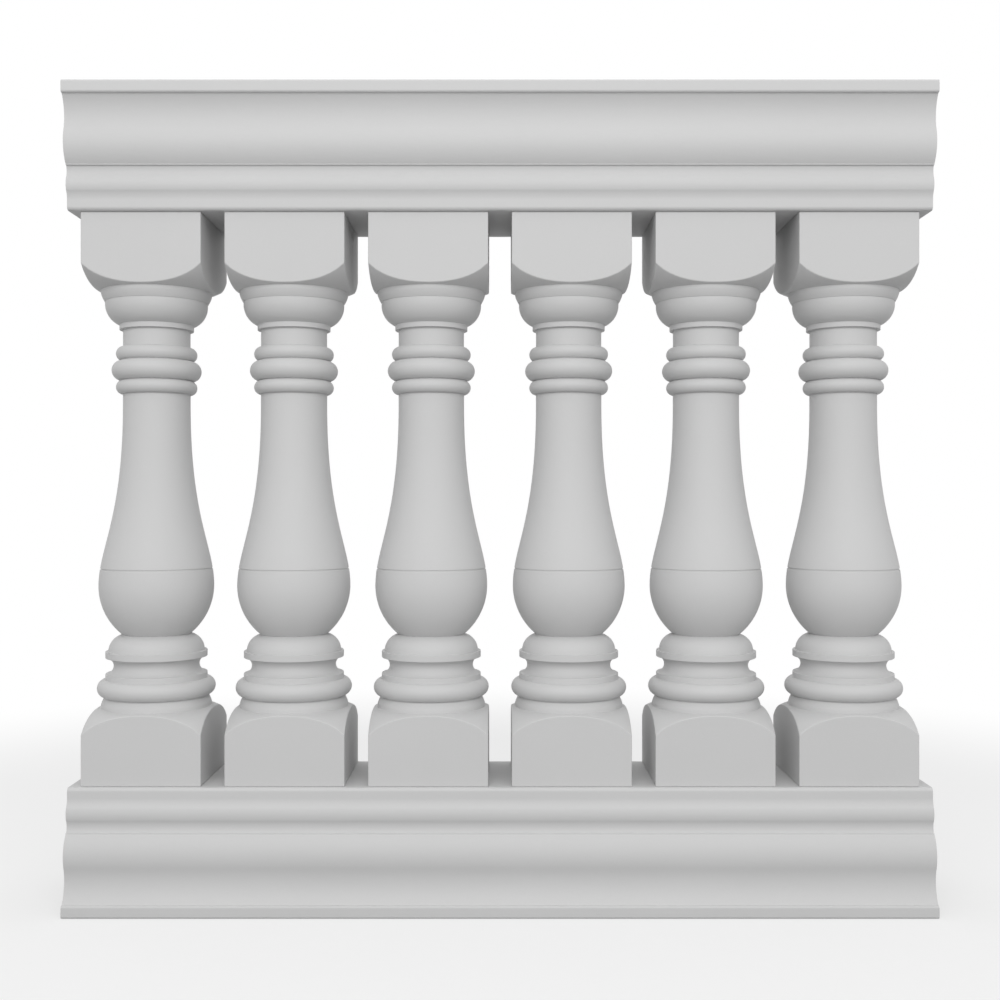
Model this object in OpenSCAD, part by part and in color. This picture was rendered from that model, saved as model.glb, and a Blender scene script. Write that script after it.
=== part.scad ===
// Balustrade of moulded fiberglass, stood up as built: a bottom rail, six turned
// balusters and a top rail. A pin of steel pipe is set in each end of a baluster
// and stands in a socket drilled into the rail.
// X runs along the rails, Y is the depth and Z is up. The origin is on the
// underside of the bottom rail, in the middle of its length and width.

/* [Overall] */
// Distance between the axes of two neighbouring balusters
bay = 152.4; // [140:0.1:240]
// Height of a baluster from rail to rail
baluster_h = 610; // [500:1:900]
// Width of a rail across its nosings
rail_w = 177.8; // [160:0.1:260]
// Height of a rail
rail_h = 132; // [126:1:200]

/* [Rail] */
// Thickness of the laminate of a rail
rail_wall = 7; // [4:0.5:10]
// Radius of the arrises of the nosing
nosing_r = 2.5; // [1:0.5:4]
// Height of the nosing
nosing_h = 13.5; // [9:0.5:20]
// How far the underside of the nosing goes in
nosing_in = 3.5; // [2:0.5:6]
// Depth of the bottom of the cove behind the nosing's face
cove_in = 11.2; // [8:0.1:16]
// Radius of the cove
cove_r = 38; // [30:1:50]
// Depth of the swell of the belly behind the nosing's face
belly_in = 6.9; // [4:0.1:8]
// Radius of the belly
belly_r = 36; // [28:1:46]
// Depth at which the belly stops
belly_end_in = 15.2; // [12:0.1:18]
// Width of the quirk after the belly
quirk_w = 2; // [1:0.5:4]
// Height of the quirk after the belly
quirk_h = 1; // [0.5:0.5:3]
// Depth of the bottom of the scotia behind the nosing's face
scotia_in = 18.6; // [16:0.1:24]
// Radius of the scotia
scotia_r = 13; // [10:1:18]
// Depth of the bead's face behind the nosing's face
bead_in = 15.4; // [12:0.1:18]
// Height of the bead's face
bead_h = 10; // [6:0.5:14]
// Depth of the fascia behind the nosing's face
fascia_in = 19.7; // [16:0.1:28]
// Radius of the cavetto between bead and fascia
cavetto_r = 17; // [12:1:24]
// Radius of the fascia's arris
fascia_r = 4; // [2:0.5:6]

/* [Baluster blocks] */
// Side of the square block at each end
block_w = 127; // [110:1:150]
// Height of the block's corners
corner_h = 54.3; // [40:0.1:64]
// Height at which the bowl cut around the block ends
bowl_h = 76.3; // [70:0.1:84]
// Radius of the bowl
bowl_r = 56.5; // [50:0.5:80]
// Radius of the collar next to the block
collar_r = 59.5; // [50:0.5:72]
// Height of the collar's straight edge
collar_edge_h = 2.7; // [1:0.1:4]
// Radius of the collar at its far edge
collar_end_r = 55.5; // [48:0.5:62]
// Height of the block with its collar
block_h = 88; // [84:1:110]
// Radius of the swell of the collar
collar_swell_r = 30; // [20:1:60]

/* [Baluster base] */
// Radius of the foot torus at its widest
torus_r = 63.7; // [60:0.1:74]
// Radius of the creases above and below the foot torus
torus_crease_r = 56.8; // [56.5:0.1:59]
// Height of the foot torus
torus_h = 19; // [14:0.5:24]
// Radius of the two fillets
fillet_r = 54.8; // [50:0.1:62]
// Height of the lower fillet
lower_fillet_h = 6; // [4:0.5:10]
// Height of the hollow between the fillets
hollow_h = 17.5; // [12:0.5:18]
// Height of the upper fillet
upper_fillet_h = 7; // [4:0.5:10]
// Radius at the foot of the cushion
cushion_r = 51.7; // [46:0.1:54]
// Height of the cushion
cushion_h = 18.3; // [14:0.1:22]
// Radius of the cushion's swell
cushion_swell_r = 18.8; // [16:0.1:30]

/* [Vase and shaft] */
// Radius of the narrow waist below the vase
waist_r = 36.8; // [32:0.1:42]
// Radius of the vase at its widest
vase_r = 62; // [54:0.5:74]
// Radius of the swell of the vase's lower part
vase_swell_r = 70; // [60:1:90]
// Height of the line cut around the vase above its widest part
line_up = 18.7; // [12:0.1:30]
// Width of that line
line_w = 1.6; // [0.8:0.1:3]
// Radius at the bottom of that line
line_r = 59.6; // [50:0.1:70]
// Part of the vase's upper length over which its swell bends in
sweep_bulge = 0.21; // [0.1:0.01:0.3]
// Part of the vase's upper length after which it runs into the shaft
sweep_taper = 0.37; // [0.32:0.01:0.5]
// Radius of the shaft under the beads
shaft_r = 36.3; // [32:0.1:42]
// Length of the straight shaft under the beads
shaft_h = 12.2; // [6:0.1:20]

/* [Beads and capital] */
// Radius of the creases beside the beads
crease_r = 38.8; // [38:0.1:40]
// Radius of the two small beads at their widest
bead_r = 43.7; // [42:0.1:46]
// Height of a small bead
small_bead_h = 14.7; // [10:0.1:18]
// Radius of the large bead at its widest
large_bead_r = 48.3; // [44:0.1:49]
// Height of the large bead
large_bead_h = 22; // [16:0.5:26]
// Radius of the neck above the beads
neck_r = 36.2; // [32:0.1:40]
// Height of the neck above the beads
neck_h = 19; // [12:0.5:26]
// Radius of the annulet on the neck
annulet_r = 40; // [38:0.1:44]
// Height of the annulet
annulet_h = 5.5; // [3:0.5:8]
// Radius of the echinus at its top
echinus_r = 55; // [50:0.5:66]
// Height of the echinus
echinus_h = 25; // [18:0.5:32]
// Radius of the echinus's swell
echinus_swell_r = 24; // [20:0.5:34]

/* [Pins] */
// Outside diameter of a pin
pin_d = 40; // [30:0.5:48]
// Wall of a pin
pin_wall = 3; // [2:0.5:5]
// Length of a pin that stands in the rail
pin_out = 43; // [30:1:60]
// Length of a pin that is set in the baluster
pin_in = 65; // [40:1:100]
// Radial clearance of a pin in its sockets
pin_gap = 0.3; // [0.1:0.1:0.6]

/* [Hidden] */

baluster_count = 6;
rail_len = baluster_count * bay;
total_h = baluster_h + 2 * rail_h;
socket_d = pin_d + 2 * pin_gap;
corner_r = block_w / sqrt(2);
over = 5;               // how far a cutting shape runs past what it cuts
arc_steps = 8;
few_steps = 4;         // for the small arrises
more_steps = 12;       // for the long arcs
curve_steps = 20;
round_fn = 96;

// Heights of the baluster's members, from the bottom up and from the top down
torus_top = block_h + torus_h;
lower_fillet_top = torus_top + lower_fillet_h;
hollow_top = lower_fillet_top + hollow_h;
upper_fillet_top = hollow_top + upper_fillet_h;
waist_z = upper_fillet_top + cushion_h;
vase_z = waist_z + sqrt(pow(vase_swell_r, 2) - pow(vase_swell_r - vase_r + waist_r, 2));
capital_top = baluster_h - block_h;
annulet_top = capital_top - echinus_h;
neck_top = annulet_top - annulet_h;
upper_bead_top = neck_top - neck_h;
large_bead_top = upper_bead_top - small_bead_h;
lower_bead_top = large_bead_top - large_bead_h;
shaft_top = lower_bead_top - small_bead_h;
shaft_z = shaft_top - shaft_h;

// Points of an arc about c, and of the arc of radius r from a to b. Going up an
// outline, a positive r swells outwards and a negative r hollows inwards.
function arc(c, r, a0, a1, n = arc_steps) =
    [for (i = [0:n]) let (a = a0 + (a1 - a0) * i / n) c + r * [cos(a), sin(a)]];
function arc_centre(a, b, r) =
    let (d = b - a, l = norm(d), h = sqrt(max(0, r * r - l * l / 4)))
    (a + b) / 2 + sign(r) * h * [-d.y, d.x] / l;
function angle_of(c, p) = atan2(p.y - c.y, p.x - c.x);
function arc_between(a, b, r, n = arc_steps) =
    let (c = arc_centre(a, b, r), a0 = angle_of(c, a),
         turn = sign(r) * 2 * asin(min(1, norm(b - a) / 2 / abs(r))))
    arc(c, abs(r), a0, a0 + turn, n);
// Arc that swells from radius r at heights z0 and z1 out to a radius of peak
function swell(r, z0, z1, peak) =
    let (half = (z1 - z0) / 2, out = peak - r)
    arc_between([r, z0], [r, z1], (half * half + out * out) / (2 * out));
function curve(p, n = curve_steps) =
    [for (i = [0:n]) let (t = i / n, s = 1 - t)
        s * s * s * p[0] + 3 * s * s * t * p[1] + 3 * s * t * t * p[2] + t * t * t * p[3]];
function mirrored(points) = [for (i = [len(points) - 1:-1:0]) [-points[i].x, points[i].y]];

// Half outline of a rail, nosing down: x is half its width, y is its height
face = rail_w / 2;
cove_c = [face - cove_in + cove_r,
          nosing_h + sqrt(pow(cove_r, 2) - pow(cove_r - cove_in + nosing_in, 2))];
belly_x = face - belly_in - belly_r;
belly_c = [belly_x, cove_c.y + sqrt(pow(cove_r + belly_r, 2) - pow(cove_c.x - belly_x, 2))];
tangent_a = angle_of(cove_c, belly_c);
belly_a = acos((face - belly_end_in - belly_c.x) / belly_r);
quirk_y = belly_c.y + belly_r * sin(belly_a) + quirk_h;
scotia_from = acos(1 - (scotia_in - belly_end_in - quirk_w) / scotia_r);
scotia_to = acos(1 - (scotia_in - bead_in) / scotia_r);
scotia_c = [face - scotia_in + scotia_r, quirk_y + scotia_r * sin(scotia_from)];
bead_y = scotia_c.y + scotia_r * sin(scotia_to);
cavetto_a = acos(1 - (fascia_in - bead_in) / cavetto_r);
cavetto_c = [face - fascia_in + cavetto_r, bead_y + bead_h + cavetto_r * sin(cavetto_a)];
rail_half = concat(
    arc([face - nosing_r, nosing_r], nosing_r, -90, 0, few_steps),
    arc([face - nosing_r, nosing_h - nosing_r], nosing_r, 0, 75, few_steps),
    arc(cove_c, cove_r, angle_of(cove_c, [face - nosing_in, nosing_h]) + 360, tangent_a, more_steps),
    arc(belly_c, belly_r, tangent_a - 180, belly_a, more_steps),
    arc(scotia_c, scotia_r, 180 + scotia_from, 180 - scotia_to),
    arc(cavetto_c, cavetto_r, 180 + cavetto_a, 180),
    arc([face - fascia_in - fascia_r, rail_h - fascia_r], fascia_r, 0, 90, few_steps));

// Half outline of the hollow inside a rail, one laminate in from the outer one
inner_x = face - fascia_in - rail_wall;
inner_a = 180 - asin((rail_wall - cove_c.y) / (cove_r + rail_wall));
rail_inner_half = concat(
    arc(cove_c, cove_r + rail_wall, inner_a, tangent_a, more_steps),
    arc(belly_c, belly_r - rail_wall, tangent_a - 180,
        acos((inner_x - belly_c.x) / (belly_r - rail_wall)), more_steps),
    [[inner_x, rail_h - rail_wall]]);

// Outline that is turned for a baluster: x is the radius, y is the height
bowl_c = arc_centre([corner_r, corner_h], [collar_r, bowl_h], bowl_r);
bowl_start = corner_r + over;
function bowl_angle(x) = acos((x - bowl_c.x) / bowl_r);
function flipped(points) = [for (i = [len(points) - 1:-1:0]) [points[i].x, baluster_h - points[i].y]];
block_end = concat(
    [[0, 0], [bowl_start, 0]],
    arc(bowl_c, bowl_r, bowl_angle(bowl_start), bowl_angle(collar_r)),
    arc_between([collar_r, bowl_h + collar_edge_h], [collar_end_r, block_h], collar_swell_r));
sweep = [[vase_r, vase_z], [vase_r, vase_z + sweep_bulge * (shaft_z - vase_z)],
         [shaft_r, vase_z + sweep_taper * (shaft_z - vase_z)], [shaft_r, shaft_z]];
base = concat(
    swell(torus_crease_r, block_h, torus_top, torus_r),
    [[fillet_r, torus_top], [fillet_r, lower_fillet_top]],
    arc_between([fillet_r, lower_fillet_top], [fillet_r, hollow_top], -hollow_h / 2),
    [[fillet_r, upper_fillet_top]],
    arc_between([cushion_r, upper_fillet_top], [waist_r, waist_z], cushion_swell_r));
vase = concat(
    arc_between([waist_r, waist_z], [vase_r, vase_z], vase_swell_r, more_steps),
    curve(sweep),
    [[shaft_r, shaft_top]]);
beads = concat(
    swell(crease_r, shaft_top, lower_bead_top, bead_r),
    swell(crease_r, lower_bead_top, large_bead_top, large_bead_r),
    swell(crease_r, large_bead_top, upper_bead_top, bead_r));
capital = concat(
    [[neck_r, upper_bead_top], [neck_r, neck_top], [annulet_r, neck_top], [annulet_r, annulet_top]],
    arc_between([annulet_r, annulet_top], [echinus_r, capital_top], echinus_swell_r));
outline = concat(block_end, base, vase, beads, capital, flipped(block_end));

// Puts its children on the axis of baluster i, on top of the bottom rail
module at_baluster(i) translate([(i - (baluster_count + 1) / 2) * bay, 0, rail_h]) children();
module turned(points) rotate_extrude($fn = round_fn) polygon(points);
// Draws its children at the bottom of a baluster and again at its top, turned over
module end_to_end() {
    children();
    translate([0, 0, baluster_h]) mirror([0, 0, 1]) children();
}
// What lies around the square block, from its end up to the collar
module block_trim()
    translate([0, 0, -over]) difference() {
        cylinder(h = bowl_h + collar_edge_h + over, r = bowl_start + over, $fn = round_fn);
        translate([-block_w / 2, -block_w / 2, -over]) cube([block_w, block_w, bowl_h + 4 * over]);
    }
// A baluster is one moulding, with a socket for a pin in the middle of each end.
module baluster(i)
    color("gainsboro") at_baluster(i) difference() {
        turned(outline);
        end_to_end() {
            block_trim();
            translate([0, 0, -over]) cylinder(h = pin_in + over, d = socket_d, $fn = round_fn);
        }
        translate([0, 0, vase_z + line_up]) rotate_extrude($fn = round_fn)
            translate([line_r, -line_w / 2]) square([vase_r + over - line_r, line_w]);
    }

// A rail is one hollow laminate, open at both ends, with a socket for each pin.
module rail()
    difference() {
        rotate([90, 0, 90]) linear_extrude(rail_len, center = true)
            polygon(concat(rail_half, mirrored(rail_half)));
        rotate([90, 0, 90]) linear_extrude(rail_len + 2 * over, center = true)
            polygon(concat(rail_inner_half, mirrored(rail_inner_half)));
        for (i = [1:baluster_count]) at_baluster(i)
            translate([0, 0, -rail_wall - over])
                cylinder(h = rail_wall + 2 * over, d = socket_d, $fn = round_fn);
    }
module bottom_rail() color("gainsboro") rail();
module top_rail() color("gainsboro") translate([0, 0, total_h]) mirror([0, 0, 1]) rail();

// A pin is a short length of steel pipe. The lower one stands down into the bottom
// rail and the upper one, the same turned over, stands up into the top rail.
module pin()
    translate([0, 0, -pin_out]) difference() {
        cylinder(h = pin_out + pin_in, d = pin_d, $fn = round_fn);
        translate([0, 0, -over])
            cylinder(h = pin_out + pin_in + 2 * over, d = pin_d - 2 * pin_wall, $fn = round_fn);
    }
module lower_pin(i) color("silver") at_baluster(i) pin();
module upper_pin(i)
    color("silver") at_baluster(i) translate([0, 0, baluster_h]) mirror([0, 0, 1]) pin();

bottom_rail();
top_rail();
baluster(1);  // baluster_1
baluster(2);  // baluster_2
baluster(3);  // baluster_3
baluster(4);  // baluster_4
baluster(5);  // baluster_5
baluster(6);  // baluster_6
lower_pin(1);  // lower_pin_1
lower_pin(2);  // lower_pin_2
lower_pin(3);  // lower_pin_3
lower_pin(4);  // lower_pin_4
lower_pin(5);  // lower_pin_5
lower_pin(6);  // lower_pin_6
upper_pin(1);  // upper_pin_1
upper_pin(2);  // upper_pin_2
upper_pin(3);  // upper_pin_3
upper_pin(4);  // upper_pin_4
upper_pin(5);  // upper_pin_5
upper_pin(6);  // upper_pin_6
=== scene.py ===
import math

import bpy
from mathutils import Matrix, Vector


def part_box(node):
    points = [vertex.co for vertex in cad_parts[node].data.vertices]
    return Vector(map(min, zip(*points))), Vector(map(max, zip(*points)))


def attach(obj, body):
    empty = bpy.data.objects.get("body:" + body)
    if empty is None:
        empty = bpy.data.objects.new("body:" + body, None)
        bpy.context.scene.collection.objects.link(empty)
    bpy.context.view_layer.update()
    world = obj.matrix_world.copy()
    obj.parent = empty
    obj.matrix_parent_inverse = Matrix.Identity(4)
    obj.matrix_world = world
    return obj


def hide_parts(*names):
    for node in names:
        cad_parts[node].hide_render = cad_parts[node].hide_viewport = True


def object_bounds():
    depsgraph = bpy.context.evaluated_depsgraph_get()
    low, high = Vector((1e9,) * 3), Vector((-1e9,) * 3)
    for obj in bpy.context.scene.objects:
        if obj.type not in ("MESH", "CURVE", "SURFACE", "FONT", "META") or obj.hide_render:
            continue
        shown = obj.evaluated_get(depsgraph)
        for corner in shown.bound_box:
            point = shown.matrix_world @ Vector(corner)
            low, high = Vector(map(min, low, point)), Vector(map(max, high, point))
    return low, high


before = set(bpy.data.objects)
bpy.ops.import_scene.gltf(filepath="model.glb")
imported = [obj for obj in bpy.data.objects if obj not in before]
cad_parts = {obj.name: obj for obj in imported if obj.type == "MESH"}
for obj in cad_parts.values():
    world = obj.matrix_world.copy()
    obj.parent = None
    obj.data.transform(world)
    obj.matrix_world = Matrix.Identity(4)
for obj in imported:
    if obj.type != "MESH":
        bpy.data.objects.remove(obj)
cadLow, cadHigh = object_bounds()
print("frame loaded")

mm = 0.001
fullTurn = 2 * math.pi
upAxis = (0, 0, 1)
penAxis = (0, 1, 0)  # spin turns backwards about it, so a positive angle goes from +X to +Z
turnSteps = 96  # sides of everything turned, a multiple of 8 so that corners fall on a vertex
mergeDistance = 0.01 * mm
balusterCount = 6
root = "root"


# Drawing an outline with a pen, in the XZ plane

def startPen(name, x, z):
    bpy.ops.object.select_all(action="DESELECT")
    bpy.ops.mesh.primitive_plane_add(size=mm, location=(0, 0, 0))
    piece = bpy.context.object
    piece.name = name
    piece.data.name = name
    bpy.ops.object.mode_set(mode="EDIT")
    bpy.ops.mesh.select_mode(type="VERT")
    bpy.ops.mesh.select_all(action="SELECT")
    bpy.ops.mesh.merge(type="CENTER")
    bpy.ops.transform.translate(value=(x, 0, z))
    return {"piece": piece, "x": x, "z": z}


def penTo(pen, x, z):
    step = (x - pen["x"], 0, z - pen["z"])
    bpy.ops.mesh.extrude_region_move(TRANSFORM_OT_translate={"value": step})
    pen["x"] = x
    pen["z"] = z


def penArc(pen, centre, angle, steps):
    cx, cz = centre
    bpy.ops.mesh.spin(steps=steps, angle=angle, center=(cx, 0, cz), axis=penAxis)
    dx = pen["x"] - cx
    dz = pen["z"] - cz
    pen["x"] = cx + dx * math.cos(angle) - dz * math.sin(angle)
    pen["z"] = cz + dx * math.sin(angle) + dz * math.cos(angle)


# Arc from the pen to a point. Going up, a positive radius swells out and a negative one hollows in.
def penArcTo(pen, x, z, radius, steps):
    dx = x - pen["x"]
    dz = z - pen["z"]
    length = math.hypot(dx, dz)
    reach = math.sqrt(max(0, radius * radius - length * length / 4)) * math.copysign(1, radius)
    cx = (x + pen["x"]) / 2 - reach * dz / length
    cz = (z + pen["z"]) / 2 + reach * dx / length
    angle = 2 * math.asin(min(1, length / 2 / abs(radius))) * math.copysign(1, radius)
    penArc(pen, (cx, cz), angle, steps)
    pen["x"] = x
    pen["z"] = z


# Arc from the pen up to the height z, back at the pen's radius, that swells out to peak
def penSwell(pen, z, peak, steps):
    half = (z - pen["z"]) / 2
    out = peak - pen["x"]
    penArcTo(pen, pen["x"], z, (half * half + out * out) / (2 * out), steps)


# Rounds the outline's corners that stand at the given points
def roundCorners(piece, corners, size, segments):
    bpy.ops.mesh.select_all(action="DESELECT")
    bpy.ops.object.mode_set(mode="OBJECT")
    for vertex in piece.data.vertices:
        for x, z in corners:
            if math.hypot(vertex.co.x - x, vertex.co.z - z) < mergeDistance:
                vertex.select = True
    bpy.ops.object.mode_set(mode="EDIT")
    bpy.ops.mesh.bevel(offset=size, segments=segments, affect="VERTICES")


def mergeAndTurnOut():
    bpy.ops.mesh.select_all(action="SELECT")
    bpy.ops.mesh.remove_doubles(threshold=mergeDistance)
    bpy.ops.mesh.normals_make_consistent(inside=False)


def copyOf(source, name):
    bpy.ops.object.select_all(action="DESELECT")
    source.select_set(True)
    bpy.context.view_layer.objects.active = source
    bpy.ops.object.duplicate(linked=False)
    made = bpy.context.object
    made.name = name
    made.data.name = name
    return made


# Moves the mesh, and leaves the object's own origin where it is
def moveMesh(piece, move):
    bpy.ops.object.select_all(action="DESELECT")
    piece.select_set(True)
    bpy.context.view_layer.objects.active = piece
    bpy.ops.object.mode_set(mode="EDIT")
    bpy.ops.mesh.select_all(action="SELECT")
    bpy.ops.transform.translate(value=move)
    bpy.ops.object.mode_set(mode="OBJECT")


# Turns the mesh upside down about a height
def turnOver(piece, height):
    bpy.ops.object.select_all(action="DESELECT")
    piece.select_set(True)
    bpy.context.view_layer.objects.active = piece
    bpy.ops.object.mode_set(mode="EDIT")
    bpy.ops.mesh.select_all(action="SELECT")
    bpy.ops.transform.resize(value=(1, 1, -1), center_override=(0, 0, height))
    bpy.ops.mesh.normals_make_consistent(inside=False)
    bpy.ops.object.mode_set(mode="OBJECT")


def shadeByAngle(piece, degrees):
    bpy.ops.object.select_all(action="DESELECT")
    piece.select_set(True)
    bpy.context.view_layer.objects.active = piece
    bpy.ops.object.shade_smooth_by_angle(angle=math.radians(degrees))
    # keeps the flat faces flat beside their rounded edges
    bpy.ops.object.modifier_add(type="WEIGHTED_NORMAL")
    modifier = piece.modifiers[-1]
    modifier.keep_sharp = True
    bpy.ops.object.modifier_apply(modifier=modifier.name)


# Materials

finish = {
    "gelcoat": (0.62, 0.62, 0.62),  # neutral light grey
    "laminate": (0.50, 0.52, 0.44),  # bare glass mat in resin
    "steel": (0.42, 0.43, 0.45),
}


def startMaterial(name):
    material = bpy.data.materials.new(name)
    material.use_nodes = True
    shader = material.node_tree.nodes["Principled BSDF"]
    return material, material.node_tree, shader


def addNode(tree, kind, **inputs):
    node = tree.nodes.new(kind)
    for key, value in inputs.items():
        node.inputs[key.replace("_", " ")].default_value = value
    return node


# Noise on the object's own coordinates, in cycles per metre
def addNoise(tree, coordinates, scale, detail, roughness):
    noise = addNode(tree, "ShaderNodeTexNoise", Scale=scale, Detail=detail, Roughness=roughness)
    tree.links.new(coordinates, noise.inputs["Vector"])
    return noise.outputs["Fac"]


def addRange(tree, value, low, high):
    ranged = tree.nodes.new("ShaderNodeMapRange")
    ranged.inputs["To Min"].default_value = low
    ranged.inputs["To Max"].default_value = high
    tree.links.new(value, ranged.inputs["Value"])
    return ranged.outputs["Result"]


def addTint(tree, colour, value):
    tint = tree.nodes.new("ShaderNodeMix")
    tint.data_type = "RGBA"
    tint.blend_type = "MULTIPLY"
    tint.inputs["Factor"].default_value = 1
    tint.inputs["A"].default_value = (*colour, 1)
    tree.links.new(value, tint.inputs["B"])
    return tint.outputs["Result"]


def addBump(tree, height, distance, before):
    bump = addNode(tree, "ShaderNodeBump", Distance=distance)
    bump.inputs["Strength"].default_value = 1
    tree.links.new(height, bump.inputs["Height"])
    if before is not None:
        tree.links.new(before, bump.inputs["Normal"])
    return bump.outputs["Normal"]


def makeGelcoat(name):
    material, tree, shader = startMaterial(name)
    coordinates = tree.nodes.new("ShaderNodeTexCoord").outputs["Object"]
    cloud = addNoise(tree, coordinates, 7, 3, 0.5)
    speckle = addNoise(tree, coordinates, 900, 2, 0.6)
    peel = addNoise(tree, coordinates, 420, 2, 0.5)
    wave = addNoise(tree, coordinates, 22, 1, 0.4)
    shade = tree.nodes.new("ShaderNodeMath")
    shade.operation = "MULTIPLY"
    tree.links.new(addRange(tree, cloud, 0.965, 1.02), shade.inputs[0])
    tree.links.new(addRange(tree, speckle, 0.975, 1.02), shade.inputs[1])
    tree.links.new(addTint(tree, finish["gelcoat"], shade.outputs[0]), shader.inputs["Base Color"])
    tree.links.new(addRange(tree, cloud, 0.5, 0.66), shader.inputs["Roughness"])
    shader.inputs["Specular IOR Level"].default_value = 0.32
    slow = addBump(tree, wave, 0.25 * mm, None)
    tree.links.new(addBump(tree, peel, 0.02 * mm, slow), shader.inputs["Normal"])
    return material


def makeLaminate(name):
    material, tree, shader = startMaterial(name)
    coordinates = tree.nodes.new("ShaderNodeTexCoord").outputs["Object"]
    strands = tree.nodes.new("ShaderNodeTexVoronoi")
    strands.feature = "DISTANCE_TO_EDGE"
    strands.inputs["Scale"].default_value = 160
    stretched = tree.nodes.new("ShaderNodeMapping")
    stretched.inputs["Rotation"].default_value = (0.4, 0.9, 0.6)
    stretched.inputs["Scale"].default_value = (1, 0.25, 2.2)
    tree.links.new(coordinates, stretched.inputs["Vector"])
    tree.links.new(stretched.outputs["Vector"], strands.inputs["Vector"])
    resin = addNoise(tree, coordinates, 30, 4, 0.6)
    shade = tree.nodes.new("ShaderNodeMath")
    shade.operation = "MULTIPLY"
    tree.links.new(addRange(tree, strands.outputs["Distance"], 0.82, 1.25), shade.inputs[0])
    tree.links.new(addRange(tree, resin, 0.85, 1.1), shade.inputs[1])
    tree.links.new(addTint(tree, finish["laminate"], shade.outputs[0]), shader.inputs["Base Color"])
    tree.links.new(addRange(tree, resin, 0.35, 0.6), shader.inputs["Roughness"])
    rough = addBump(tree, resin, 0.8 * mm, None)
    tree.links.new(addBump(tree, strands.outputs["Distance"], 0.3 * mm, rough), shader.inputs["Normal"])
    return material


def makeSteel(name):
    material, tree, shader = startMaterial(name)
    coordinates = tree.nodes.new("ShaderNodeTexCoord").outputs["Object"]
    stretched = tree.nodes.new("ShaderNodeMapping")
    stretched.inputs["Scale"].default_value = (1, 1, 0.06)  # drawn along the pipe
    tree.links.new(coordinates, stretched.inputs["Vector"])
    grain = addNoise(tree, stretched.outputs["Vector"], 900, 3, 0.6)
    patch = addNoise(tree, coordinates, 60, 3, 0.6)
    tree.links.new(addTint(tree, finish["steel"], addRange(tree, patch, 0.85, 1.1)),
                   shader.inputs["Base Color"])
    shader.inputs["Metallic"].default_value = 1
    tree.links.new(addRange(tree, grain, 0.34, 0.52), shader.inputs["Roughness"])
    tree.links.new(addBump(tree, grain, 0.05 * mm, None), shader.inputs["Normal"])
    return material


railGelcoat = makeGelcoat("railGelcoat")
balusterGelcoat = makeGelcoat("balusterGelcoat")
bareLaminate = makeLaminate("bareLaminate")
pinSteel = makeSteel("pinSteel")
print("materials made")


# Rail

bottomLow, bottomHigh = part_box("bottom_rail")
topLow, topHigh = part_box("top_rail")
rail = {
    "width": bottomHigh.y - bottomLow.y,
    "height": bottomHigh.z - bottomLow.z,
    "wall": 7 * mm,
    "nosingRadius": 2.5 * mm,
    "nosingHeight": 13.5 * mm,
    "nosingIn": 3.5 * mm,
    "coveIn": 11.2 * mm,
    "coveRadius": 38 * mm,
    "bellyIn": 6.9 * mm,
    "bellyRadius": 36 * mm,
    "bellyEndIn": 15.2 * mm,
    "quirkWidth": 2 * mm,
    "quirkHeight": 1 * mm,
    "scotiaIn": 18.6 * mm,
    "scotiaRadius": 13 * mm,
    "beadIn": 15.4 * mm,  # where the rounded bead stands out most
    "beadEdgeIn": 16.6 * mm,  # where it meets the hollows beside it
    "beadHeight": 10 * mm,
    "fasciaIn": 19.7 * mm,
    "cavettoRadius": 17 * mm,
    "fasciaRadius": 4 * mm,
    "arris": 0.35 * mm,  # rounding of the small corners
    "cutEdge": 0.3 * mm,  # rounding of the edges at the two sawn ends
    "arcSteps": 14,
    "socketRadius": 20.3 * mm,
}


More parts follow.
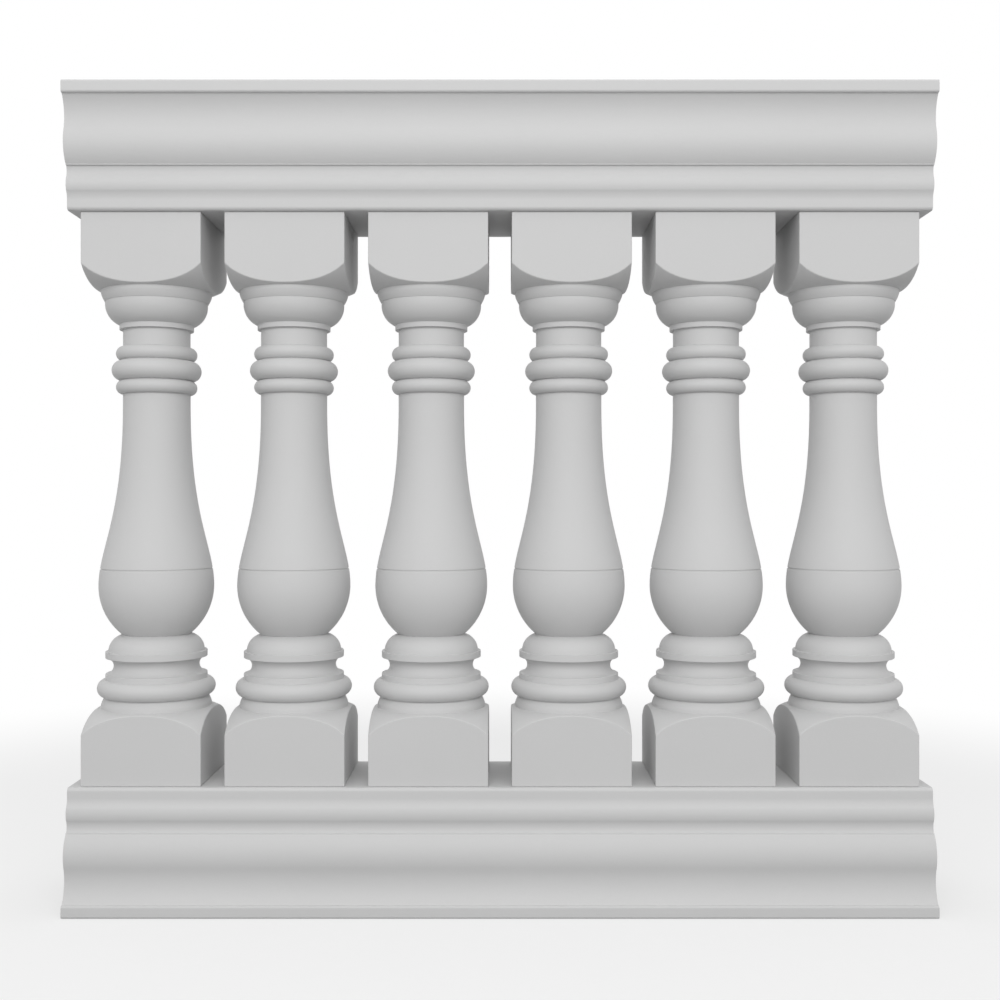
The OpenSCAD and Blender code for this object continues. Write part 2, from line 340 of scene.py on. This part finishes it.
def makeRail(name):
    r = rail
    face = r["width"] / 2
    pen = startPen(name, 0, 0)
    piece = pen["piece"]
    corners = []

    def corner():
        corners.append((pen["x"], pen["z"]))

    # outside, from the middle of the nosing's side up to the middle of the flat side
    quarter = math.pi / 2
    fewSteps = 6
    penTo(pen, face - r["nosingRadius"], 0)
    penArc(pen, (pen["x"], r["nosingRadius"]), quarter, fewSteps)
    penTo(pen, face, r["nosingHeight"] - r["nosingRadius"])
    penArc(pen, (face - r["nosingRadius"], pen["z"]), math.radians(75), fewSteps)
    penTo(pen, face - r["nosingIn"], r["nosingHeight"])
    coveX = face - r["coveIn"] + r["coveRadius"]
    coveDrop = r["coveRadius"] - r["coveIn"] + r["nosingIn"]
    coveZ = r["nosingHeight"] + math.sqrt(r["coveRadius"] ** 2 - coveDrop ** 2)
    bellyX = face - r["bellyIn"] - r["bellyRadius"]
    reach = r["coveRadius"] + r["bellyRadius"]
    bellyZ = coveZ + math.sqrt(reach ** 2 - (coveX - bellyX) ** 2)
    tangent = math.atan2(bellyZ - coveZ, bellyX - coveX)
    start = math.atan2(pen["z"] - coveZ, pen["x"] - coveX) % fullTurn
    penArc(pen, (coveX, coveZ), tangent - start, r["arcSteps"])
    bellyEnd = math.acos((face - r["bellyEndIn"] - bellyX) / r["bellyRadius"])
    penArc(pen, (bellyX, bellyZ), bellyEnd - (tangent - math.pi), r["arcSteps"])
    penTo(pen, face - r["bellyEndIn"], pen["z"] + r["quirkHeight"])
    corner()
    penTo(pen, pen["x"] - r["quirkWidth"], pen["z"])
    scotiaFrom = math.acos(1 - (r["scotiaIn"] - r["bellyEndIn"] - r["quirkWidth"]) / r["scotiaRadius"])
    scotiaTo = math.acos(1 - (r["scotiaIn"] - r["beadEdgeIn"]) / r["scotiaRadius"])
    scotiaZ = pen["z"] + r["scotiaRadius"] * math.sin(scotiaFrom)
    fullScotia = math.acos(1 - (r["scotiaIn"] - r["beadIn"]) / r["scotiaRadius"])
    fullCavetto = math.acos(1 - (r["fasciaIn"] - r["beadIn"]) / r["cavettoRadius"])
    beadZ = scotiaZ + r["scotiaRadius"] * math.sin(fullScotia)
    cavettoZ = beadZ + r["beadHeight"] + r["cavettoRadius"] * math.sin(fullCavetto)
    cavetto = math.acos(1 - (r["fasciaIn"] - r["beadEdgeIn"]) / r["cavettoRadius"])
    penArc(pen, (face - r["scotiaIn"] + r["scotiaRadius"], scotiaZ), -scotiaFrom - scotiaTo,
           r["arcSteps"])
    penSwell(pen, cavettoZ - r["cavettoRadius"] * math.sin(cavetto), face - r["beadIn"],
             r["arcSteps"])
    penArc(pen, (face - r["fasciaIn"] + r["cavettoRadius"], cavettoZ), -cavetto, r["arcSteps"])
    penTo(pen, pen["x"], r["height"] - r["fasciaRadius"])
    penArc(pen, (pen["x"] - r["fasciaRadius"], pen["z"]), quarter, fewSteps)
    penTo(pen, 0, r["height"])

    # inside, one laminate in, back down to the middle of the nosing's side
    innerX = face - r["fasciaIn"] - r["wall"]
    penTo(pen, 0, r["height"] - r["wall"])
    penTo(pen, innerX, pen["z"])
    innerBelly = r["bellyRadius"] - r["wall"]
    innerEnd = math.acos((innerX - bellyX) / innerBelly)
    penTo(pen, innerX, bellyZ + innerBelly * math.sin(innerEnd))
    penArc(pen, (bellyX, bellyZ), (tangent - math.pi) - innerEnd, r["arcSteps"])
    innerCove = r["coveRadius"] + r["wall"]
    innerStart = math.pi - math.asin((r["wall"] - coveZ) / innerCove)
    penArc(pen, (coveX, coveZ), innerStart - tangent, r["arcSteps"])
    penTo(pen, 0, r["wall"])
    penTo(pen, 0, 0)
    bpy.ops.mesh.select_all(action="SELECT")
    bpy.ops.mesh.remove_doubles(threshold=mergeDistance)
    roundCorners(piece, corners, r["arris"], 3)

    # one face each for the right and the left half, and then the length
    bpy.ops.mesh.select_all(action="SELECT")
    bpy.ops.mesh.edge_face_add()
    bpy.ops.mesh.duplicate()
    bpy.ops.transform.resize(value=(-1, 1, 1), center_override=(0, 0, 0))
    bpy.ops.mesh.select_all(action="SELECT")
    bpy.ops.mesh.remove_doubles(threshold=mergeDistance)
    bpy.ops.transform.rotate(value=quarter, orient_axis="Z", center_override=(0, 0, 0))
    bpy.ops.transform.translate(value=(bottomLow.x, 0, 0))
    bpy.ops.mesh.extrude_region_move(
        TRANSFORM_OT_translate={"value": (bottomHigh.x - bottomLow.x, 0, 0)})
    mergeAndTurnOut()
    bpy.ops.object.mode_set(mode="OBJECT")
    return piece


def cutSockets(piece, places):
    cutters = []
    for x in places:
        bpy.ops.object.select_all(action="DESELECT")
        bpy.ops.mesh.primitive_cylinder_add(vertices=turnSteps, radius=rail["socketRadius"],
                                            depth=4 * rail["wall"],
                                            location=(x, 0, rail["height"]))
        cutters.append(bpy.context.object)
    for cutter in cutters:
        cutter.select_set(True)
    bpy.context.view_layer.objects.active = cutters[0]
    bpy.ops.object.join()
    cutter = bpy.context.object
    bpy.ops.object.select_all(action="DESELECT")
    piece.select_set(True)
    bpy.context.view_layer.objects.active = piece
    bpy.ops.object.modifier_add(type="BOOLEAN")
    modifier = piece.modifiers[-1]
    modifier.operation = "DIFFERENCE"
    modifier.object = cutter
    bpy.ops.object.modifier_apply(modifier=modifier.name)
    bpy.data.objects.remove(cutter)


# Rounds the outer edges of the two sawn ends
def roundEnds(piece):
    bpy.ops.object.mode_set(mode="EDIT")
    bpy.ops.mesh.select_mode(type="EDGE")
    bpy.ops.mesh.select_all(action="DESELECT")
    bpy.ops.object.mode_set(mode="OBJECT")
    mesh = piece.data
    for edge in mesh.edges:
        a = mesh.vertices[edge.vertices[0]].co
        b = mesh.vertices[edge.vertices[1]].co
        atEnd = min(abs(a.x - x) + abs(b.x - x) for x in (bottomLow.x, bottomHigh.x)) < mergeDistance
        onMiddle = abs(a.y) < mergeDistance and abs(b.y) < mergeDistance
        edge.select = atEnd and not onMiddle
    bpy.ops.object.mode_set(mode="EDIT")
    bpy.ops.mesh.bevel(offset=rail["cutEdge"], segments=2, affect="EDGES")
    bpy.ops.object.mode_set(mode="OBJECT")


# The outside has its gelcoat, and what is inside or sawn shows the laminate
def paintRail(piece):
    piece.data.materials.append(railGelcoat)
    piece.data.materials.append(bareLaminate)
    face = rail["width"] / 2
    for polygon in piece.data.polygons:
        sawn = abs(polygon.normal.x) > 0.5
        inward = Vector((0, polygon.center.y, polygon.center.z - rail["height"] / 2)).dot(polygon.normal)
        inside = abs(polygon.center.y) < face - rail["wall"] and rail["wall"] - mm < polygon.center.z
        inside = inside and polygon.center.z < rail["height"] - rail["wall"] + mm and inward < 0
        polygon.material_index = 1 if sawn or inside else 0


pinBoxes = [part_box("lower_pin_" + str(i + 1)) for i in range(balusterCount)]
axes = [(low.x + high.x) / 2 for low, high in pinBoxes]
bottomRail = makeRail("bottomRail")
cutSockets(bottomRail, axes)
roundEnds(bottomRail)
paintRail(bottomRail)
topRail = copyOf(bottomRail, "topRail")
turnOver(topRail, (bottomLow.z + topHigh.z) / 2)
for piece, node in ((bottomRail, "bottom_rail"), (topRail, "top_rail")):
    shadeByAngle(piece, 28)
    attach(piece, root)
    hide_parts(node)
print("rails made")


# Baluster

balusterLow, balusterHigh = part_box("baluster_1")
baluster = {
    "height": balusterHigh.z - balusterLow.z,
    "blockSide": balusterHigh.x - balusterLow.x,
    "cornerHeight": 54.3 * mm,
    "bowlHeight": 76.3 * mm,
    "bowlRadius": 56.5 * mm,
    "collarRadius": 59.5 * mm,
    "collarEdge": 2.7 * mm,
    "collarEndRadius": 55.5 * mm,
    "collarSwell": 30 * mm,
    "blockHeight": 88 * mm,
    "torusRadius": 63.7 * mm,
    "torusCrease": 56.8 * mm,
    "torusHeight": 19 * mm,
    "filletRadius": 54.8 * mm,
    "lowerFillet": 6 * mm,
    "hollow": 17.5 * mm,
    "upperFillet": 7 * mm,
    "cushionRadius": 51.7 * mm,
    "cushionHeight": 18.3 * mm,
    "cushionSwell": 18.8 * mm,
    "waistRadius": 36.8 * mm,
    "vaseRadius": 62 * mm,
    "vaseSwell": 70 * mm,
    "lineUp": 18.7 * mm,
    "lineWidth": 1.6 * mm,
    "lineRadius": 59.6 * mm,
    "sweepBulge": 0.21,
    "sweepTaper": 0.37,
    "shaftRadius": 36.3 * mm,
    "shaftLength": 12.2 * mm,
    "beadCrease": 38.8 * mm,
    "beadRadius": 43.7 * mm,
    "smallBead": 14.7 * mm,
    "largeBeadRadius": 48.3 * mm,
    "largeBead": 22 * mm,
    "neckRadius": 36.2 * mm,
    "neckHeight": 19 * mm,
    "annuletRadius": 40 * mm,
    "annuletHeight": 5.5 * mm,
    "echinusRadius": 55 * mm,
    "echinusHeight": 25 * mm,
    "echinusSwell": 24 * mm,
    "arris": 0.45 * mm,  # rounding of the turned corners
    "lineArris": 0.2 * mm,
    "blockEdge": 0.9 * mm,  # rounding of the block's edges
    "socketRadius": 20.3 * mm,
    "socketDepth": 65 * mm,
    "arcSteps": 12,
    "vaseSteps": 22,
    "sweepSteps": 36,
}


# Cubic curve through the vase's upper length, at t from 0 to 1
def sweepPoint(points, t):
    s = 1 - t
    weights = (s ** 3, 3 * s * s * t, 3 * s * t * t, t ** 3)
    return [sum(w * p[axis] for w, p in zip(weights, points)) for axis in (0, 1)]


def makeTurned(name):
    b = baluster
    steps = b["arcSteps"]
    pen = startPen(name, b["collarRadius"], b["bowlHeight"])
    piece = pen["piece"]
    corners = []
    lineCorners = []

    def corner():
        corners.append((pen["x"], pen["z"]))

    penTo(pen, pen["x"], pen["z"] + b["collarEdge"])
    penArcTo(pen, b["collarEndRadius"], b["blockHeight"], b["collarSwell"], steps // 2)
    penTo(pen, b["torusCrease"], pen["z"])
    penSwell(pen, pen["z"] + b["torusHeight"], b["torusRadius"], steps)
    penTo(pen, b["filletRadius"], pen["z"])
    penTo(pen, pen["x"], pen["z"] + b["lowerFillet"])
    corner()
    penArcTo(pen, pen["x"], pen["z"] + b["hollow"], -b["hollow"] / 2, 2 * steps)
    corner()
    penTo(pen, pen["x"], pen["z"] + b["upperFillet"])
    corner()
    penTo(pen, b["cushionRadius"], pen["z"])
    penArcTo(pen, b["waistRadius"], pen["z"] + b["cushionHeight"], b["cushionSwell"], steps)
    rise = math.sqrt(b["vaseSwell"] ** 2 - (b["vaseSwell"] - b["vaseRadius"] + b["waistRadius"]) ** 2)
    penArcTo(pen, b["vaseRadius"], pen["z"] + rise, b["vaseSwell"], b["vaseSteps"])

    capitalTop = b["height"] - b["blockHeight"]
    upperBeadTop = capitalTop - b["echinusHeight"] - b["annuletHeight"] - b["neckHeight"]
    shaftTop = upperBeadTop - 2 * b["smallBead"] - b["largeBead"]
    shaftStart = shaftTop - b["shaftLength"]
    vaseZ = pen["z"]
    span = shaftStart - vaseZ
    points = [(b["vaseRadius"], vaseZ), (b["vaseRadius"], vaseZ + b["sweepBulge"] * span),
              (b["shaftRadius"], vaseZ + b["sweepTaper"] * span), (b["shaftRadius"], shaftStart)]
    lineLow = vaseZ + b["lineUp"] - b["lineWidth"] / 2
    lineHigh = lineLow + b["lineWidth"]
    cut = False
    for step in range(1, b["sweepSteps"] + 1):
        x, z = sweepPoint(points, step / b["sweepSteps"])
        if z > lineLow and not cut:
            cut = True
            slope = (x - pen["x"]) / (z - pen["z"])
            outer = pen["x"] + slope * (lineLow - pen["z"])
            penTo(pen, outer, lineLow)
            lineCorners.append((pen["x"], pen["z"]))
            penTo(pen, b["lineRadius"], lineLow)
            penTo(pen, b["lineRadius"], lineHigh)
            penTo(pen, outer + slope * b["lineWidth"], lineHigh)
            lineCorners.append((pen["x"], pen["z"]))
        if z > pen["z"] + mm / 2:
            penTo(pen, x, z)
    penTo(pen, pen["x"], shaftTop)
    penTo(pen, b["beadCrease"], shaftTop)
    penSwell(pen, pen["z"] + b["smallBead"], b["beadRadius"], steps)
    penSwell(pen, pen["z"] + b["largeBead"], b["largeBeadRadius"], steps)
    penSwell(pen, pen["z"] + b["smallBead"], b["beadRadius"], steps)
    penTo(pen, b["neckRadius"], pen["z"])
    penTo(pen, pen["x"], pen["z"] + b["neckHeight"])
    penTo(pen, b["annuletRadius"], pen["z"])
    corner()
    penTo(pen, pen["x"], pen["z"] + b["annuletHeight"])
    penArcTo(pen, b["echinusRadius"], capitalTop, b["echinusSwell"], steps)
    penTo(pen, b["collarEndRadius"], capitalTop)
    penArcTo(pen, b["collarRadius"], b["height"] - b["bowlHeight"] - b["collarEdge"],
             b["collarSwell"], steps // 2)
    penTo(pen, pen["x"], b["height"] - b["bowlHeight"])
    bpy.ops.mesh.select_all(action="SELECT")
    bpy.ops.mesh.remove_doubles(threshold=mergeDistance)
    roundCorners(piece, corners, b["arris"], 3)
    roundCorners(piece, lineCorners, b["lineArris"], 2)
    bpy.ops.mesh.select_all(action="SELECT")
    bpy.ops.mesh.spin(steps=turnSteps, angle=fullTurn, center=(0, 0, 0), axis=upAxis)
    mergeAndTurnOut()
    bpy.ops.object.mode_set(mode="OBJECT")
    return piece


# Square block with the bowl cut around it, as rings of vertices from its socket out and in again
def makeBlock(name):
    b = baluster
    half = b["blockSide"] / 2
    cornerRadius = half * math.sqrt(2)
    dx = b["collarRadius"] - cornerRadius
    dz = b["bowlHeight"] - b["cornerHeight"]
    length = math.hypot(dx, dz)
    reach = math.sqrt(b["bowlRadius"] ** 2 - length ** 2 / 4)
    bowlX = (cornerRadius + b["collarRadius"]) / 2 - reach * dz / length
    bowlZ = (b["cornerHeight"] + b["bowlHeight"]) / 2 + reach * dx / length

    def bowlHeight(radius):
        return bowlZ + math.sqrt(b["bowlRadius"] ** 2 - (radius - bowlX) ** 2)

    def onCircle(radius, z):
        return lambda square: (radius, z)

    def onBowl(share):
        def place(square):
            nearEdge = square - min(2 * mm, (square - b["collarRadius"]) / 2)
            radius = nearEdge + (b["collarRadius"] - nearEdge) * share
            return radius, bowlHeight(radius)
        return place

    bowlRows = 9
    rings = [onCircle(b["socketRadius"], b["socketDepth"]), onCircle(b["socketRadius"], 0),
             lambda square: (square, 0), lambda square: (square, b["cornerHeight"] / 2),
             lambda square: (square, bowlHeight(square))]
    rings += [onBowl(row / bowlRows) for row in range(bowlRows + 1)]
    bpy.ops.object.select_all(action="DESELECT")
    bpy.ops.mesh.primitive_circle_add(vertices=turnSteps, radius=b["socketRadius"], fill_type="NGON",
                                      location=(0, 0, 0))
    piece = bpy.context.object
    piece.name = name
    for number, place in enumerate(rings):
        if number > 0:
            bpy.ops.object.mode_set(mode="EDIT")
            bpy.ops.mesh.select_mode(type="VERT")
            if number > 1:
                bpy.ops.mesh.extrude_region_move()
            else:
                bpy.ops.mesh.select_all(action="SELECT")
                bpy.ops.mesh.region_to_loop()
                bpy.ops.mesh.extrude_edges_move()
            bpy.ops.object.mode_set(mode="OBJECT")
        ring = [v for v in piece.data.vertices if v.select or number == 0]
        for vertex in ring:
            angle = math.atan2(vertex.co.y, vertex.co.x)
            square = half / max(abs(math.cos(angle)), abs(math.sin(angle)))
            radius, z = place(square)
            vertex.co = (radius * math.cos(angle), radius * math.sin(angle), z)
    bpy.ops.object.mode_set(mode="EDIT")
    bpy.ops.mesh.select_mode(type="EDGE")
    bpy.ops.mesh.select_all(action="DESELECT")
    bpy.ops.object.mode_set(mode="OBJECT")
    mesh = piece.data
    for edge in mesh.edges:
        ends = [mesh.vertices[i].co for i in edge.vertices]
        onWall = all(abs(max(abs(p.x), abs(p.y)) - half) < mergeDistance for p in ends)
        flat = all(p.z < mergeDistance for p in ends)
        crease = onWall and all(abs(p.z - bowlHeight(math.hypot(p.x, p.y))) < mergeDistance for p in ends)
        upright = all(abs(abs(p.x) - abs(p.y)) < mergeDistance for p in ends)
        edge.select = onWall and (flat or crease or upright)
    bpy.ops.object.mode_set(mode="EDIT")
    bpy.ops.mesh.bevel(offset=b["blockEdge"], segments=3, affect="EDGES")
    mergeAndTurnOut()
    bpy.ops.object.mode_set(mode="OBJECT")
    return piece


def makeBaluster(name):
    turned = makeTurned(name)
    lower = makeBlock("lowerBlock")
    upper = copyOf(lower, "upperBlock")
    turnOver(upper, baluster["height"] / 2)
    bpy.ops.object.select_all(action="DESELECT")
    for part in (lower, upper, turned):
        part.select_set(True)
    bpy.context.view_layer.objects.active = turned
    bpy.ops.object.join()
    bpy.ops.object.mode_set(mode="EDIT")
    mergeAndTurnOut()
    bpy.ops.object.mode_set(mode="OBJECT")
    turned.data.materials.append(balusterGelcoat)
    return turned


pattern = makeBaluster("balusterPattern")
for i in range(balusterCount):
    made = copyOf(pattern, "baluster" + str(i + 1))
    moveMesh(made, (axes[i], 0, balusterLow.z))
    shadeByAngle(made, 32)
    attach(made, root)
    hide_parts("baluster_" + str(i + 1))
bpy.data.objects.remove(pattern)
print("balusters made")


# Pins

pinLow, pinHigh = pinBoxes[0]
pin = {
    "radius": (pinHigh.x - pinLow.x) / 2,
    "wall": 3 * mm,
    "length": pinHigh.z - pinLow.z,
    "lip": 0.6 * mm,
}


def makePin(name):
    r = pin["radius"]
    inner = r - pin["wall"]
    pen = startPen(name, inner, 0)
    piece = pen["piece"]
    penTo(pen, r, 0)
    penTo(pen, r, pin["length"])
    penTo(pen, inner, pin["length"])
    penTo(pen, inner, 0)
    bpy.ops.mesh.select_all(action="SELECT")
    bpy.ops.mesh.remove_doubles(threshold=mergeDistance)
    roundCorners(piece, [(x, z) for x in (inner, r) for z in (0, pin["length"])], pin["lip"], 2)
    bpy.ops.mesh.select_all(action="SELECT")
    bpy.ops.mesh.spin(steps=turnSteps, angle=fullTurn, center=(0, 0, 0), axis=upAxis)
    mergeAndTurnOut()
    bpy.ops.object.mode_set(mode="OBJECT")
    piece.data.materials.append(pinSteel)
    shadeByAngle(piece, 32)
    return piece


firstPin = makePin("pinPattern")
for place in ("lower", "upper"):
    for i in range(balusterCount):
        node = place + "_pin_" + str(i + 1)
        low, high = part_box(node)
        made = copyOf(firstPin, place + "Pin" + str(i + 1))
        moveMesh(made, (axes[i], 0, low.z))
        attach(made, root)
        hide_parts(node)
bpy.data.objects.remove(firstPin)
print("pins made")


# Floor, light and camera

studio = {
    "floorSize": 12,
    "floorSeen": 0.8,  # its colour for the camera
    "floorBounce": 0.42,  # and for the light that it throws back
    "floorKeeps": 0.85,  # radius of the floor that shows a shadow
    "floorFades": 1.6,  # radius at which it has gone to white
    "floorGlow": 0.6,  # share of white in what the camera sees of it
    "ambient": 0.6,
    "keyPower": 47.5,
    "keySize": (3.4, 1.4),
    "keyPlace": (0, -2.7, 1.75),
    "topPower": 9,
    "topSize": (2.4, 2.4),
    "topPlace": (0, 0.2, 2.6),
    "lens": 45,
    "sensor": 36,
    "cameraPlace": (0, -1.3886, 0.436),
}


# 1 for the rays that see the backdrop and 0 for those that carry its light
def addSeen(tree):
    path = tree.nodes.new("ShaderNodeLightPath")
    first = tree.nodes.new("ShaderNodeMath")
    first.operation = "MAXIMUM"
    tree.links.new(path.outputs["Is Camera Ray"], first.inputs[0])
    tree.links.new(path.outputs["Is Glossy Ray"], first.inputs[1])
    second = tree.nodes.new("ShaderNodeMath")
    second.operation = "MAXIMUM"
    tree.links.new(first.outputs[0], second.inputs[0])
    tree.links.new(path.outputs["Is Transmission Ray"], second.inputs[1])
    return second.outputs[0]


def makeFloor():
    bpy.ops.object.select_all(action="DESELECT")
    bpy.ops.mesh.primitive_plane_add(size=studio["floorSize"], location=(0, 0, cadLow.z - mm / 10))
    floor = bpy.context.object
    floor.name = "studioFloor"
    material, tree, shader = startMaterial("studioFloor")
    coordinates = tree.nodes.new("ShaderNodeTexCoord").outputs["Object"]
    distance = tree.nodes.new("ShaderNodeVectorMath")
    distance.operation = "LENGTH"
    tree.links.new(coordinates, distance.inputs[0])
    fade = tree.nodes.new("ShaderNodeMapRange")
    fade.interpolation_type = "SMOOTHSTEP"
    fade.inputs["To Min"].default_value = studio["floorGlow"]
    fade.inputs["From Min"].default_value = studio["floorKeeps"]
    fade.inputs["From Max"].default_value = studio["floorFades"]
    tree.links.new(distance.outputs["Value"], fade.inputs["Value"])
    seen = tree.nodes.new("ShaderNodeMath")
    seen.operation = "MULTIPLY"
    tree.links.new(fade.outputs["Result"], seen.inputs[0])
    seenRay = addSeen(tree)
    tree.links.new(seenRay, seen.inputs[1])
    grain = addNoise(tree, coordinates, 40, 3, 0.5)
    lit = addRange(tree, seenRay, studio["floorBounce"], studio["floorSeen"])
    shade = tree.nodes.new("ShaderNodeMath")
    shade.operation = "MULTIPLY"
    tree.links.new(lit, shade.inputs[0])
    tree.links.new(addRange(tree, grain, 0.99, 1.01), shade.inputs[1])
    tree.links.new(shade.outputs[0], shader.inputs["Base Color"])
    shader.inputs["Roughness"].default_value = 0.9
    shader.inputs["Specular IOR Level"].default_value = 0
    white = addNode(tree, "ShaderNodeEmission", Strength=1.0)
    mix = tree.nodes.new("ShaderNodeMixShader")
    tree.links.new(seen.outputs[0], mix.inputs[0])
    tree.links.new(shader.outputs[0], mix.inputs[1])
    tree.links.new(white.outputs[0], mix.inputs[2])
    below = tree.nodes.new("ShaderNodeMixShader")  # seen from below, the floor isn't there
    tree.links.new(tree.nodes.new("ShaderNodeNewGeometry").outputs["Backfacing"], below.inputs[0])
    tree.links.new(mix.outputs[0], below.inputs[1])
    tree.links.new(tree.nodes.new("ShaderNodeBsdfTransparent").outputs[0], below.inputs[2])
    tree.links.new(below.outputs[0], tree.nodes["Material Output"].inputs["Surface"])
    floor.data.materials.append(material)


def makeWorld():
    world = bpy.data.worlds.new("studioWorld")
    bpy.context.scene.world = world
    world.use_nodes = True
    tree = world.node_tree
    background = tree.nodes["Background"]
    strength = tree.nodes.new("ShaderNodeMapRange")
    strength.inputs["To Min"].default_value = studio["ambient"]
    strength.inputs["To Max"].default_value = 1
    tree.links.new(addSeen(tree), strength.inputs["Value"])
    background.inputs["Color"].default_value = (1, 1, 1, 1)
    tree.links.new(strength.outputs["Result"], background.inputs["Strength"])


def addLight(name, power, size, place, target):
    bpy.ops.object.select_all(action="DESELECT")
    bpy.ops.object.light_add(type="AREA", location=place)
    light = bpy.context.object
    light.name = name
    light.data.name = name
    light.data.shape = "RECTANGLE"
    light.data.size = size[0]
    light.data.size_y = size[1]
    light.data.energy = power
    light.rotation_euler = (Vector(target) - Vector(place)).to_track_quat("-Z", "Y").to_euler()


def makeCamera():
    bpy.ops.object.select_all(action="DESELECT")
    bpy.ops.object.camera_add(location=studio["cameraPlace"], rotation=(math.pi / 2, 0, 0))
    camera = bpy.context.object
    camera.name = "frontCamera"
    camera.data.lens = studio["lens"]
    camera.data.sensor_width = studio["sensor"]
    bpy.context.scene.camera = camera


middle = (0, 0, (cadLow.z + cadHigh.z) / 2)
makeFloor()
makeWorld()
addLight("keyLight", studio["keyPower"], studio["keySize"], studio["keyPlace"], middle)
addLight("topLight", studio["topPower"], studio["topSize"], studio["topPlace"], middle)
makeCamera()
bpy.context.scene.view_settings.view_transform = "Standard"
